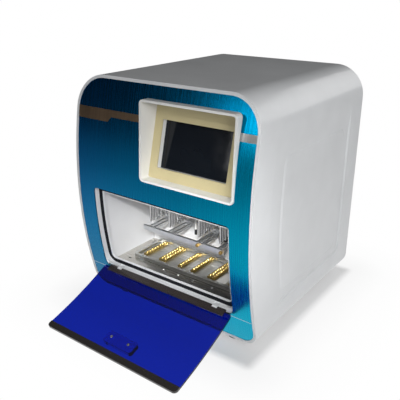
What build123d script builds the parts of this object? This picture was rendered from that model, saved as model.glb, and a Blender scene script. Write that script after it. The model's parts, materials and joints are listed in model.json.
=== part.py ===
from build123d import *
import math
import os

os.makedirs("parts", exist_ok=True)

# Nucleic acid extractor: a benchtop instrument with a curved front, a tilted display and a
# chamber closed by a fold-down door. All sizes are millimetres.
# The part stands on z = 0, +X is the right side seen from the front and +Y is the back.
# Distances back are measured from the upper front edge of the shell, and heights from the
# underside of the shell. The planes below turn them into the part's own frame.

# ---------------------------------------------------------------- shell
shell_width = 440.0
shell_height = 490.0
shell_depth = 426.0
shell_wall = 6.0
top_corner = 67.0
bottom_corner = 35.0
foot_height = 14.0
overcut = 1.0

# ---------------------------------------------------------------- curve of the front
front_bulge = 31.5
bulge_height = 250.0
front_tuck = 7.0

# ---------------------------------------------------------------- front panels
panel_thickness = 2.5
panel_recess = 0.8
panel_gap = 0.3
support_flange = 9.0
support_flange_thickness = 3.0
seam_height = 61.0
seam_width = 1.0
trim_thickness = 0.7
left_trim_drop = 64.0
left_trim_wide = 24.0
left_trim_narrow = 14.0
left_trim_step = -130.0
left_trim_chamfer = 9.0
right_trim_drop = 63.0
right_trim_wide = 14.0

# ---------------------------------------------------------------- side panels of the shell
side_recess = 3.2
side_top_drop = 71.0
side_bottom = 63.0
side_back = 368.0
side_front_depth = 62.0
side_ramp_front = 42.0
side_ramp_top = 49.0
side_step = 3.0
side_corner = 18.0
side_raise = 1.9
side_raise_gap = 1.0
side_raise_slope = 4.5
side_raise_back = 345.0
side_raise_bottom = 84.0

# ---------------------------------------------------------------- chamber opening and its frame
opening_half_width = 172.0
opening_bottom = 59.5
opening_drop = 42.1
opening_low_corner = 20.4
opening_high_corner = 9.4
frame_wall = 1.6
frame_depth = 20.5
frame_flange = 2.5
ledge_height = 71.5
seal_depth = 15.0
seal_width = 10.0
lip_width = 1.6
least_corner = 1.0
fit_gap = 0.2

# ---------------------------------------------------------------- door
door_open_angle = 105.0
hinge_height = 66.5
hinge_depth = 1.5
hinge_knuckle_radius = 3.2
hinge_pin_radius = 1.25
running_clearance = 0.05
door_clearance = 1.0
door_thickness = 4.0
door_top_gap = 2.0
hinge_bar_width = 15.0
hinge_bar_cover = 1.6
hinge_bar_end = 4.0
edge_band_width = 14.0
edge_band_thickness = 5.0
bracket_centre = 129.0
bracket_width = 13.0
bracket_pin_reach = 14.0
handle_width = 74.0
handle_length = 27.0
handle_thickness = 10.0
handle_drop = 41.9
handle_corner = 5.0
handle_screw_spacing = 45.0
handle_screw_radius = 3.0
handle_shank_radius = 1.5
handle_screw_head = 1.5

# ---------------------------------------------------------------- display
bezel_width = 219.0
bezel_height = 159.0
bezel_drop = 31.0
bezel_side_margin = 40.0
bezel_corner = 9.0
bezel_wall = 4.5
bezel_low_proud = 1.5
bezel_high_proud = 15.5
bezel_back = 32.0
mask_low_depth = 21.5
mask_high_depth = 49.5
mask_thickness = 2.5
window_left_margin = 22.95
window_right_margin = 33.55
window_height_margin = 65.0
window_drop = 8.6
screen_depth = 12.5
screen_thickness = 3.0
surround_wall = 2.0
display_module_margin = 12.0
display_module_thickness = 18.0

# ---------------------------------------------------------------- chamber
chamber_inset = 4.0
chamber_wall = 2.0
chamber_back = 150.0
chamber_floor_top = 72.0
back_wall_top = 232.0
hatch_width = 30.0
hatch_height = 24.0
hatch_x = 40.0
hatch_z = 132.0

# ---------------------------------------------------------------- deck: tray and heater blocks
well_pitch = 9.0
wells_per_column = 8
plate_spacing = 134.7
plate_centre_back = 99.6
tray_half_width = 140.0
tray_front = 47.0
tray_back = 147.0
tray_rim_top = 80.5
tray_floor_top = 75.0
tray_rim = 7.0
tray_corner = 6.0
heater_top = 80.0
heater_margin = 2.0
heater_dimple_radius = 3.4
heater_dimple_depth = 3.0
heater_dimple_taper = 30.0
heater_column_offset = 49.5
deck_screw_radius = 2.6
deck_screw_head = 1.6
deck_screw_gap = 9.0
deck_screw_places = (-43.0, -2.0, 38.0, 88.0)
rim_screw_radius = 2.0
rim_screw_head = 1.0
rim_screw_count = 4
rim_screw_spacing = 68.0
rim_screw_centre = -8.0
drain_radius = 3.5
drain_x = -142.0
drain_back = 36.0
card_width = 22.0
card_length = 40.0
card_thickness = 0.6

# ---------------------------------------------------------------- heads
column_pair_spacing = 54.0
head_column_offset = 15.0
rod_radius = 2.7
rod_tip_round = 0.7
rod_tip_height = 162.0
rod_length = 110.0
rod_plate_thickness = 8.0
rod_plate_margin = 9.0
rod_arm_half_width = 30.0
rod_web_thickness = 8.0
rod_arm_low = 314.0
rod_arm_thickness = 8.0
guide_block_height = 40.0
locating_pin_radius = 2.5
locating_pin_x = 19.0
locating_pin_back = 74.0
locating_pin_tip = 12.0
sleeve_rail_low = 143.0
sleeve_rail_high = 153.5
sleeve_rail_width = 6.0
sleeve_end_gap = 1.0
sleeve_slot = 9.0
sleeve_rib = 4.0
sleeve_overhang = 6.7
hanger_half_width = 6.0
hanger_depth = 8.0
hanger_block_inset = 15.0
hanger_block_half_width = 12.0
hanger_offset = 101.0
hanger_arm_low = 252.0
hanger_arm_thickness = 10.0
thumbscrew_radius = 3.8
thumbscrew_length = 6.0
thumbscrew_places = (44.0, 103.0)

# ---------------------------------------------------------------- carriage and drive
drive_wall_front = 196.0
drive_wall_thickness = 4.0
drive_wall_side_gap = 40.0
drive_wall_top_gap = 40.0
rail_width = 12.0
rail_thickness = 8.0
motor_side_gap = 12.0
low_rail_height = 262.0
high_rail_drop = 28.0
slider_clearance = 0.4
carriage_front = 172.0
carriage_thickness = 6.0
carriage_half_width = 124.0
carriage_low = 196.0
motor_top_gap = 14.0
slider_length = 44.0
slider_height = 24.0
slider_places = (-90.0, 90.0)
z_rail_thickness = 6.0
z_rail_width = 9.0
z_rail_low = 206.0
z_rail_drop = 8.0
guide_block_depth = 14.0
screw_radius = 4.0
x_screw_height = 333.0
x_screw_back = 187.0
z_screw_back = 162.0
sleeve_screw_offset = -84.0
rod_guide_offset = 20.0
motor_size = 42.0
motor_length = 38.0
motor_corner = 4.0
bearing_thickness = 8.0
shelf_margin = 10.5

# ---------------------------------------------------------------- electronics inside the shell
supply_half_width = 75.0
supply_length = 95.0
supply_height = 42.0
supply_front = 232.0
board_half_width = 85.0
board_low = 120.0
board_high = 250.0
board_thickness = 1.6
board_standoff = 8.0
chip_columns = 4
chip_rows = (155.0, 200.0)
chip_half_width = 10.0
chip_half_height = 12.0
chip_thickness = 6.0

# ---------------------------------------------------------------- underside
base_thickness = 3.0
base_side_margin = 30.0
base_front = 16.0
base_back = 418.0
base_opening_margin = 15.0
foot_radius = 15.0
foot_chamfer = 1.9
foot_x = 150.0
foot_inset = 18.0

# ---------------------------------------------------------------- back
rear_recess = 6.0
rear_thickness = 1.5
rear_screw_radius = 3.0
rear_screw_head = 1.8
rear_screw_inset = 15.0
rear_screw_low = 36.0
rear_screw_drop = 66.0
fan_x = -100.0
fan_z = 350.0
fan_size = 80.0
fan_thickness = 25.0
fan_bore_radius = 37.5
fan_hub_radius = 16.0
fan_tip_clearance = 1.5
fan_corner = 4.0
fan_strut = 3.0
fan_strut_count = 3
fan_blades = 7
fan_blade_angle = 35.0
fan_blade_thickness = 2.0
fan_blade_sink = 2.0
fan_pin_radius = 2.0
grille_wire = 2.0
grille_hub_radius = 4.0
grille_rings = 5
vent_width = 90.0
vent_slot = 4.0
vent_pitch = 10.0
vent_rows = 7
vent_x = 90.0
vent_z = 350.0
inlet_x = 130.0
inlet_z = 92.0
inlet_width = 28.0
inlet_height = 21.0
inlet_depth = 18.0
inlet_flange = 7.5
socket_wall = 2.0
inlet_pin_places = ((-7.0, -2.0), (0.0, 2.0), (7.0, -2.0))
inlet_pin_half_width = 1.0
inlet_pin_half_height = 2.0
switch_x = 90.0
switch_width = 21.0
switch_height = 15.0
rocker_tilt = 9.0
rocker_pin_radius = 1.5
rocker_rise = 3.4
rocker_valley = 2.2
rocker_tip_gap = 0.6
rocker_bevel = 0.8
port_z = 92.0
port_wall = 1.0
port_places = ((20.0, 9.0, 5.0), (46.0, 9.0, 8.0), (-12.0, 17.0, 7.0))

# ---------------------------------------------------------------- places worked out from the sizes
half_shell = shell_width / 2
inner_half = half_shell - shell_wall
inner_low = shell_wall
inner_high = shell_height - shell_wall
inner_low_corner = bottom_corner - shell_wall
inner_high_corner = top_corner - shell_wall
bezel_high = shell_height - bezel_drop
bezel_low = bezel_high - bezel_height
bezel_right = half_shell - bezel_side_margin
bezel_left = bezel_right - bezel_width
bezel_half = bezel_width / 2
bezel_centre = (bezel_right + bezel_left) / 2
window_width = bezel_width - window_left_margin - window_right_margin
window_height = bezel_height - window_height_margin
window_centre_x = bezel_right - window_right_margin - window_width / 2
side_wall_top = bezel_low
opening_top = bezel_low - opening_drop
left_trim_high = shell_height - left_trim_drop
left_trim_low = left_trim_high - left_trim_wide
left_trim_narrow_low = left_trim_high - left_trim_narrow
right_trim_high = shell_height - right_trim_drop
right_trim_low = right_trim_high - right_trim_wide
side_top = shell_height - side_top_drop
door_top = opening_top - door_top_gap
handle_height = door_top - handle_drop
chamber_half_width = opening_half_width - chamber_inset
drive_wall_half_width = inner_half - drive_wall_side_gap
drive_wall_top = shell_height - drive_wall_top_gap
carriage_high = inner_high - motor_top_gap - motor_length
z_rail_high = carriage_high - z_rail_drop
x_rail_heights = (low_rail_height, carriage_high - high_rail_drop)
rail_half_length = inner_half - motor_side_gap - motor_length
base_half_width = half_shell - base_side_margin
rear_screw_high = shell_height - rear_screw_drop


# ---------------------------------------------------------------- curve of the front, worked out
def circle_through(first, second, third):
    """Centre and radius of the circle through three points."""
    (ax, ay), (bx, by), (cx, cy) = first, second, third
    double_area = 2 * (ax * (by - cy) + bx * (cy - ay) + cx * (ay - by))
    a2 = ax * ax + ay * ay
    b2 = bx * bx + by * by
    c2 = cx * cx + cy * cy
    x = (a2 * (by - cy) + b2 * (cy - ay) + c2 * (ay - by)) / double_area
    y = (a2 * (cx - bx) + b2 * (ax - cx) + c2 * (bx - ax)) / double_area
    return x, y, math.hypot(ax - x, ay - y)


arc_back, arc_height, arc_radius = circle_through(
    (front_tuck, 0.0), (-front_bulge, bulge_height), (0.0, shell_height)
)


def front_back(depth, height):
    """Distance back of the surface that lies a given depth behind the front, at one height."""
    return arc_back - math.sqrt((arc_radius - depth) ** 2 - (height - arc_height) ** 2)


# ---------------------------------------------------------------- the part's own frame
hinge_back = front_back(hinge_depth, hinge_height)
open_cos = math.cos(math.radians(door_open_angle))
open_sin = math.sin(math.radians(door_open_angle))


def opened_back(back, height):
    """Distance back of a point of the closed door after the door is opened."""
    return hinge_back + (back - hinge_back) * open_cos - (height - hinge_height) * open_sin


door_reach = min(
    opened_back(front_back(depth, door_top), door_top) for depth in (0.0, edge_band_thickness)
)
front_y = -(shell_depth + door_reach) / 2

side_plane = Plane(origin=(0, front_y, foot_height), x_dir=(0, 1, 0), z_dir=(1, 0, 0))
view_plane = Plane(origin=(0, front_y, foot_height), x_dir=(1, 0, 0), z_dir=(0, -1, 0))

# The door is drawn as if it were closed, on planes that are turned open about the hinge.
turn_back = front_y - (front_y + hinge_back)
turn_up = foot_height - (foot_height + hinge_height)
open_origin = (
    0,
    front_y + hinge_back + turn_back * open_cos - turn_up * open_sin,
    foot_height + hinge_height + turn_back * open_sin + turn_up * open_cos,
)
door_side_plane = Plane(origin=open_origin, x_dir=(0, open_cos, open_sin), z_dir=(1, 0, 0))
door_view_plane = Plane(origin=open_origin, x_dir=(1, 0, 0), z_dir=(0, -open_cos, -open_sin))


def level(height):
    """Horizontal plane at a height; its coordinates are x and the distance back."""
    return Plane(origin=(0, front_y, foot_height + height))


def upright(back):
    """Vertical plane across the part, facing the front; its coordinates are x and the height."""
    return Plane(origin=(0, front_y + back, foot_height), x_dir=(1, 0, 0), z_dir=(0, -1, 0))


def sideways(x):
    """Vertical plane along the part; its coordinates are the distance back and the height."""
    return Plane(origin=(x, front_y, foot_height), x_dir=(0, 1, 0), z_dir=(1, 0, 0))


def slab(x, back, height, mode=Mode.ADD):
    """Box between two x values, two distances back and two heights, in the current part."""
    middle_back = (back[0] + back[1]) / 2
    middle_height = (height[0] + height[1]) / 2
    with Locations(((x[0] + x[1]) / 2, front_y + middle_back, foot_height + middle_height)):
        Box(x[1] - x[0], back[1] - back[0], height[1] - height[0], mode=mode)


def curved_solid(plane, near, far, low, high, half_width):
    """Solid that follows the curved front between two depths and two heights."""
    middle = (low + high) / 2
    with BuildPart() as solid:
        with BuildSketch(plane):
            with BuildLine():
                outer = [(front_back(near, height), height) for height in (low, middle, high)]
                inner = [(front_back(far, height), height) for height in (high, middle, low)]
                ThreePointArc(*outer)
                Line(outer[2], inner[0])
                ThreePointArc(*inner)
                Line(inner[2], outer[0])
            make_face()
        extrude(amount=half_width, both=True)
    return solid.part


def view_prism(plane, half_width, low, high, low_corner, high_corner, centre=0.0):
    """Prism along the line of sight whose front view is a rectangle with rounded corners."""
    with BuildPart() as prism:
        with BuildSketch(plane) as view:
            with Locations((centre, (low + high) / 2)):
                Rectangle(2 * half_width, high - low)
            fillet(view.vertices().group_by(Axis.Y)[0], low_corner)
            fillet(view.vertices().group_by(Axis.Y)[-1], high_corner)
        extrude(amount=2 * shell_depth, both=True)
    return prism.part


def keep(builder, label):
    """Label one finished piece and write it."""
    builder.part.label = label
    export_step(builder.part, f"parts/{label}.step")


# ---------------------------------------------------------------- outer shell
flange_depth = panel_recess + panel_thickness + panel_gap
shell_outside = view_prism(view_plane, half_shell, 0, shell_height, bottom_corner, top_corner)
shell_inside = view_prism(
    view_plane, inner_half, inner_low, inner_high, inner_low_corner, inner_high_corner
)
flange_inside = view_prism(
    view_plane,
    inner_half - support_flange,
    inner_low + support_flange,
    inner_high - support_flange,
    inner_low_corner - support_flange,
    inner_high_corner - support_flange,
)
flange_solid = curved_solid(
    side_plane,
    flange_depth,
    flange_depth + support_flange_thickness,
    0,
    shell_height,
    half_shell,
)


def side_outline(x, front_depth, low, high, back):
    """Outline of a side panel whose front edge runs parallel to the curved front."""
    with BuildSketch(sideways(x)) as outline:
        with BuildLine():
            front = [(front_back(front_depth, h), h) for h in (low, (low + high) / 2, high)]
            ThreePointArc(*front)
            Line(front[2], (back, high))
            Line((back, high), (back, low))
            Line((back, low), front[0])
        make_face()
        fillet(outline.vertices(), side_corner)
    return outline.sketch


side_cutters = []
for side in (-1, 1):
    rim = side_outline(side * half_shell, side_front_depth, side_bottom, side_top, side_back)
    floor = side_outline(
        side * (half_shell - side_recess),
        side_front_depth + side_ramp_front,
        side_bottom + side_step,
        side_top - side_ramp_top,
        side_back - side_step,
    )
    raise_foot = side_outline(
        side * (half_shell - side_recess),
        side_front_depth + side_ramp_front + side_raise_gap,
        side_raise_bottom,
        side_top - side_ramp_top - side_raise_gap,
        side_raise_back,
    )
    raise_top = side_outline(
        side * (half_shell - side_recess + side_raise),
        side_front_depth + side_ramp_front + side_raise_gap + side_raise_slope,
        side_raise_bottom + side_raise_slope,
        side_top - side_ramp_top - side_raise_gap - side_raise_slope,
        side_raise_back - side_raise_slope,
    )
    with BuildPart() as side_cutter:
        loft([rim, floor])
        loft([raise_foot, raise_top], mode=Mode.SUBTRACT)
    side_cutters.append(side_cutter.part)

# The front panels rest on a flange that runs round the inside of the shell.
with BuildPart() as panel_support:
    add(flange_solid)
    add(shell_inside, mode=Mode.INTERSECT)
    add(flange_inside, mode=Mode.SUBTRACT)

with BuildPart() as outer_shell:
    add(shell_outside)
    with BuildSketch(side_plane):
        with BuildLine():
            rows = (-overcut, shell_height / 2, shell_height + overcut)
            edge = [(front_back(0, height), height) for height in rows]
            ThreePointArc(*edge)
            Line(edge[2], (shell_depth, rows[2]))
            Line((shell_depth, rows[2]), (shell_depth, rows[0]))
            Line((shell_depth, rows[0]), edge[0])
        make_face()
    extrude(amount=half_shell + overcut, both=True, mode=Mode.INTERSECT)
    add(shell_inside, mode=Mode.SUBTRACT)
    add(panel_support.part)
    for cutter in side_cutters:
        add(cutter, mode=Mode.SUBTRACT)
    base_opening = base_half_width - base_opening_margin
    slab(
        (-base_opening, base_opening),
        (base_front + 2 * base_opening_margin, base_back - base_opening_margin),
        (-overcut, shell_wall + overcut),
        mode=Mode.SUBTRACT,
    )

keep(outer_shell, "outer_shell")


# ---------------------------------------------------------------- front panels and trim
panel_outline = view_prism(
    view_plane,
    inner_half - panel_gap,
    inner_low + panel_gap,
    inner_high - panel_gap,
    inner_low_corner - panel_gap,
    inner_high_corner - panel_gap,
)
opening = view_prism(
    view_plane,
    opening_half_width,
    opening_bottom,
    opening_top,
    opening_low_corner,
    opening_high_corner,
)
bezel_cutout = view_prism(
    view_plane,
    bezel_half + fit_gap,
    bezel_low - fit_gap,
    bezel_high + fit_gap,
    bezel_corner,
    bezel_corner,
    bezel_centre,
)
panel_far = panel_recess + panel_thickness
upper_solid = curved_solid(side_plane, panel_recess, panel_far, seam_height, shell_height, half_shell)
lower_solid = curved_solid(side_plane, panel_recess, panel_far, 0, seam_height - seam_width, half_shell)
seam_solid = curved_solid(
    side_plane, panel_recess, panel_far, seam_height - seam_width, seam_height, half_shell
)
trim_solid = curved_solid(
    side_plane, panel_recess - trim_thickness, panel_recess, seam_height, shell_height, half_shell
)

with BuildPart() as front_panel:
    add(upper_solid)
    add(panel_outline, mode=Mode.INTERSECT)
    add(opening, mode=Mode.SUBTRACT)
    add(bezel_cutout, mode=Mode.SUBTRACT)
keep(front_panel, "front_panel")

with BuildPart() as lower_front_panel:
    add(lower_solid)
    add(panel_outline, mode=Mode.INTERSECT)
keep(lower_front_panel, "lower_front_panel")

with BuildPart() as seam_strip:
    add(seam_solid)
    add(panel_outline, mode=Mode.INTERSECT)
keep(seam_strip, "seam_strip")

with BuildPart() as left_trim_band:
    with BuildSketch(view_plane):
        Polygon(
            (-half_shell, left_trim_low),
            (left_trim_step, left_trim_low),
            (left_trim_step + left_trim_chamfer, left_trim_narrow_low),
            (bezel_left - fit_gap, left_trim_narrow_low),
            (bezel_left - fit_gap, left_trim_high),
            (-half_shell, left_trim_high),
            align=None,
        )
    extrude(amount=shell_depth, both=True)
    add(trim_solid, mode=Mode.INTERSECT)
    add(panel_outline, mode=Mode.INTERSECT)
keep(left_trim_band, "left_trim_band")

with BuildPart() as right_trim_band:
    slab(
        (bezel_right + fit_gap, half_shell),
        (-shell_depth, shell_depth),
        (right_trim_low, right_trim_high),
    )
    add(trim_solid, mode=Mode.INTERSECT)
    add(panel_outline, mode=Mode.INTERSECT)
keep(right_trim_band, "right_trim_band")

# ---------------------------------------------------------------- frame and seal of the opening
# The frame stands behind the front panel, with its inner walls flush with the panel's edge.
frame_half = opening_half_width + frame_wall
frame_low = opening_bottom + fit_gap
frame_high = opening_top + frame_wall
frame_front = panel_far + fit_gap
throat_inset = seal_width + lip_width + fit_gap


def mouth_prism(inset):
    """Prism of the opening inside the frame, a given distance in from the frame's wall."""
    return view_prism(
        view_plane,
        opening_half_width - inset,
        ledge_height + inset,
        opening_top - inset,
        max(opening_low_corner - inset, least_corner),
        max(opening_high_corner - inset, least_corner),
    )


frame_outline = view_prism(
    view_plane,
    frame_half,
    frame_low,
    frame_high,
    opening_low_corner + frame_wall,
    opening_high_corner + frame_wall,
)
throat = mouth_prism(throat_inset)
door_pocket_outline = view_prism(
    view_plane,
    opening_half_width,
    frame_low - overcut,
    opening_top,
    opening_low_corner,
    opening_high_corner,
)
door_pocket_depth = door_thickness + hinge_bar_cover + door_clearance
frame_solid = curved_solid(
    side_plane, frame_front, frame_depth, frame_low - overcut, frame_high + overcut, half_shell
)
pocket_solid = curved_solid(
    side_plane, -shell_wall, door_pocket_depth, frame_low - overcut, frame_high + overcut, half_shell
)
front_space = curved_solid(
    side_plane, -shell_wall, seal_depth, frame_low - overcut, frame_high + overcut, half_shell
)
ring_space = curved_solid(
    side_plane,
    seal_depth,
    frame_depth - frame_flange,
    frame_low - overcut,
    frame_high + overcut,
    half_shell,
)
mouth = mouth_prism(0)
seal_inside = mouth_prism(seal_width)
lip_outside = mouth_prism(seal_width + fit_gap)

with BuildPart() as door_pocket:
    add(pocket_solid)
    add(door_pocket_outline, mode=Mode.INTERSECT)
with BuildPart() as mouth_space:
    add(front_space)
    add(mouth, mode=Mode.INTERSECT)
with BuildPart() as seal_groove:
    add(ring_space)
    add(mouth, mode=Mode.INTERSECT)
    add(lip_outside, mode=Mode.SUBTRACT)

with BuildPart() as opening_frame:
    add(frame_solid)
    add(frame_outline, mode=Mode.INTERSECT)
    add(throat, mode=Mode.SUBTRACT)
    add(mouth_space.part, mode=Mode.SUBTRACT)
    add(seal_groove.part, mode=Mode.SUBTRACT)
    add(door_pocket.part, mode=Mode.SUBTRACT)
    for side in (-1, 1):
        bracket_space = bracket_width / 2 + fit_gap
        slab(
            (side * bracket_centre - bracket_space, side * bracket_centre + bracket_space),
            (hinge_back, hinge_back + bracket_width),
            (hinge_height - hinge_knuckle_radius, ledge_height + overcut),
            mode=Mode.SUBTRACT,
        )
keep(opening_frame, "opening_frame")

with BuildPart() as door_seal:
    add(ring_space)
    add(mouth, mode=Mode.INTERSECT)
    add(seal_inside, mode=Mode.SUBTRACT)
keep(door_seal, "door_seal")

# ---------------------------------------------------------------- door, drawn closed and turned open
door_half = opening_half_width - door_clearance
door_low = opening_bottom + door_clearance
sheet_low = hinge_height + hinge_knuckle_radius + door_clearance
band_low = door_top - edge_band_width
door_outline = view_prism(
    door_view_plane,
    door_half,
    door_low,
    door_top,
    opening_low_corner - door_clearance,
    opening_high_corner - door_clearance,
)
sheet_solid = curved_solid(door_side_plane, 0, door_thickness, sheet_low, band_low, half_shell)
cover_solid = curved_solid(
    door_side_plane,
    door_thickness,
    door_thickness + hinge_bar_cover,
    hinge_height,
    hinge_height + hinge_bar_width,
    half_shell,
)
root_solid = curved_solid(
    door_side_plane,
    hinge_depth - hinge_knuckle_radius / 2,
    door_thickness + hinge_bar_cover,
    hinge_height,
    sheet_low,
    half_shell,
)
band_solid = curved_solid(door_side_plane, 0, edge_band_thickness, band_low, door_top, half_shell)
nose_half = door_half - (opening_low_corner - door_clearance)
hinge_point = (0, front_y + hinge_back, foot_height + hinge_height)


def hinge_plane(x):
    """Plane square to the hinge axis, with the axis at its origin."""
    return Plane(origin=(x, hinge_point[1], hinge_point[2]), x_dir=(0, 1, 0), z_dir=(1, 0, 0))


with BuildPart() as door_panel:
    add(sheet_solid)
    add(door_outline, mode=Mode.INTERSECT)
    for side in (-1, 1):
        with BuildSketch(door_view_plane):
            with Locations((side * handle_screw_spacing / 2, handle_height)):
                Circle(handle_shank_radius)
        extrude(amount=shell_depth, both=True, mode=Mode.SUBTRACT)
keep(door_panel, "door_panel")

with BuildPart() as door_hinge_bar:
    add(cover_solid)
    add(root_solid)
    add(door_outline, mode=Mode.INTERSECT)
    bar_half = nose_half + hinge_bar_end
    slab(
        (-bar_half, bar_half),
        (-shell_depth, shell_depth),
        (-shell_height, shell_height),
        mode=Mode.INTERSECT,
    )
    with BuildSketch(hinge_plane(-nose_half)):
        Circle(hinge_knuckle_radius)
    extrude(amount=2 * nose_half)
    for side in (-1, 1):
        knuckle_space = bracket_width / 2 + fit_gap
        with BuildSketch(hinge_plane(side * bracket_centre - knuckle_space)):
            Circle(hinge_knuckle_radius + door_clearance)
        extrude(amount=2 * knuckle_space, mode=Mode.SUBTRACT)
        with BuildSketch(door_view_plane):
            with Locations((side * bracket_centre, hinge_height)):
                Rectangle(2 * knuckle_space, 2 * (hinge_knuckle_radius + door_clearance))
        extrude(amount=shell_depth, both=True, mode=Mode.SUBTRACT)
    with BuildSketch(hinge_plane(-shell_width)):
        Circle(hinge_pin_radius + running_clearance)
    extrude(amount=2 * shell_width, mode=Mode.SUBTRACT)
keep(door_hinge_bar, "door_hinge_bar")

with BuildPart() as door_edge_band:
    add(band_solid)
    add(door_outline, mode=Mode.INTERSECT)
keep(door_edge_band, "door_edge_band")

handle_solid = curved_solid(
    door_side_plane,
    -handle_thickness,
    0,
    handle_height - handle_length / 2,
    handle_height + handle_length / 2,
    handle_width / 2,
)
handle_outline = view_prism(
    door_view_plane,
    handle_width / 2,
    handle_height - handle_length / 2,
    handle_height + handle_length / 2,
    handle_corner,
    handle_corner,
)
with BuildPart() as door_handle:
    add(handle_solid)
    add(handle_outline, mode=Mode.INTERSECT)
keep(door_handle, "door_handle")

head_solid = curved_solid(
    door_side_plane,
    door_thickness,
    door_thickness + handle_screw_head,
    handle_height - handle_length,
    handle_height + handle_length,
    half_shell,
)
shank_solid = curved_solid(
    door_side_plane,
    0,
    door_thickness,
    handle_height - handle_length,
    handle_height + handle_length,
    half_shell,
)
with BuildPart() as head_columns:
    with BuildSketch(door_view_plane):
        with GridLocations(handle_screw_spacing, 1, 2, 1):
            with Locations((0, handle_height)):
                Circle(handle_screw_radius)
    extrude(amount=shell_depth, both=True)
    add(head_solid, mode=Mode.INTERSECT)
with BuildPart() as shank_columns:
    with BuildSketch(door_view_plane):
        with GridLocations(handle_screw_spacing, 1, 2, 1):
            with Locations((0, handle_height)):
                Circle(handle_shank_radius)
    extrude(amount=shell_depth, both=True)
    add(shank_solid, mode=Mode.INTERSECT)
with BuildPart() as door_handle_screws:
    add(head_columns.part)
    add(shank_columns.part)
keep(door_handle_screws, "door_handle_screws")

# Hinge brackets stand in notches of the opening frame and hold the pins that the door turns on.
with BuildPart() as hinge_brackets:
    for side in (-1, 1):
        with BuildSketch(hinge_plane(side * bracket_centre - bracket_width / 2)):
            Circle(hinge_knuckle_radius)
            with Locations((bracket_width / 2, 0)):
                Rectangle(bracket_width, 2 * hinge_knuckle_radius)
            Circle(hinge_pin_radius, mode=Mode.SUBTRACT)
        extrude(amount=bracket_width)
keep(hinge_brackets, "hinge_brackets")

with BuildPart() as hinge_pins:
    for side in (-1, 1):
        pin_length = bracket_width + 2 * bracket_pin_reach
        with BuildSketch(hinge_plane(side * bracket_centre - pin_length / 2)):
            Circle(hinge_pin_radius)
        extrude(amount=pin_length)
keep(hinge_pins, "hinge_pins")

# ---------------------------------------------------------------- display
bezel_low_front = front_back(0, bezel_low) - bezel_low_proud
bezel_high_front = front_back(0, bezel_high) - bezel_high_proud
bezel_inner_low = bezel_low + bezel_wall
bezel_inner_high = bezel_high - bezel_wall
bezel_middle = (bezel_low + bezel_high) / 2


def mask_back(height):
    """Distance back of the tilted front surface of the mask, at one height."""
    share = (height - bezel_inner_low) / (bezel_inner_high - bezel_inner_low)
    low = bezel_low_front + mask_low_depth
    high = bezel_high_front + mask_high_depth
    return low + share * (high - low)


mask_tilt = math.atan2(mask_back(bezel_high) - mask_back(bezel_low), bezel_high - bezel_low)
mask_middle_back = mask_back(bezel_middle)
mask_normal = (0, -math.cos(mask_tilt), math.sin(mask_tilt))


def mask_plane(depth):
    """Plane parallel to the tilted mask, a given depth behind its front surface."""
    return Plane(
        origin=(
            0,
            front_y + mask_middle_back - mask_normal[1] * depth,
            foot_height + bezel_middle - mask_normal[2] * depth,
        ),
        x_dir=(1, 0, 0),
        z_dir=mask_normal,
    )


bezel_outside = view_prism(
    view_plane, bezel_half, bezel_low, bezel_high, bezel_corner, bezel_corner, bezel_centre
)
bezel_inside = view_prism(
    view_plane,
    bezel_half - bezel_wall,
    bezel_inner_low,
    bezel_inner_high,
    bezel_corner - bezel_wall,
    bezel_corner - bezel_wall,
    bezel_centre,
)
mask_outline = view_prism(
    view_plane,
    bezel_half - bezel_wall - fit_gap,
    bezel_inner_low + fit_gap,
    bezel_inner_high - fit_gap,
    bezel_corner - bezel_wall - fit_gap,
    bezel_corner - bezel_wall - fit_gap,
    bezel_centre,
)

with BuildPart() as display_bezel:
    with BuildSketch(sideways(bezel_left)):
        Polygon(
            (bezel_low_front, bezel_low),
            (bezel_high_front, bezel_high),
            (bezel_back, bezel_high),
            (bezel_back, bezel_low),
            align=None,
        )
    extrude(amount=bezel_right - bezel_left)
    add(bezel_outside, mode=Mode.INTERSECT)
    add(bezel_inside, mode=Mode.SUBTRACT)
keep(display_bezel, "display_bezel")

with BuildPart() as display_mask:
    with BuildSketch(mask_plane(mask_thickness)):
        with Locations((bezel_centre, 0)):
            Rectangle(2 * bezel_half, shell_height / 2)
        with Locations((window_centre_x, -window_drop)):
            Rectangle(window_width, window_height, mode=Mode.SUBTRACT)
    extrude(amount=mask_thickness)
    add(mask_outline, mode=Mode.INTERSECT)
keep(display_mask, "display_mask")

with BuildPart() as screen_surround:
    with BuildSketch(mask_plane(screen_depth)):
        with Locations((window_centre_x, -window_drop)):
            Rectangle(window_width + 2 * surround_wall, window_height + 2 * surround_wall)
            Rectangle(window_width, window_height, mode=Mode.SUBTRACT)
    extrude(amount=screen_depth - mask_thickness)
keep(screen_surround, "screen_surround")

with BuildPart() as touch_screen:
    with BuildSketch(mask_plane(screen_depth + screen_thickness)):
        with Locations((window_centre_x, -window_drop)):
            Rectangle(window_width + 2 * surround_wall, window_height + 2 * surround_wall)
    extrude(amount=screen_thickness)
keep(touch_screen, "touch_screen")

module_back = screen_depth + screen_thickness + display_module_thickness
with BuildPart() as display_module:
    with BuildSketch(mask_plane(module_back)):
        with Locations((window_centre_x, -window_drop)):
            Rectangle(window_width + display_module_margin, window_height + display_module_margin)
    extrude(amount=display_module_thickness)
keep(display_module, "display_module")

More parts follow.
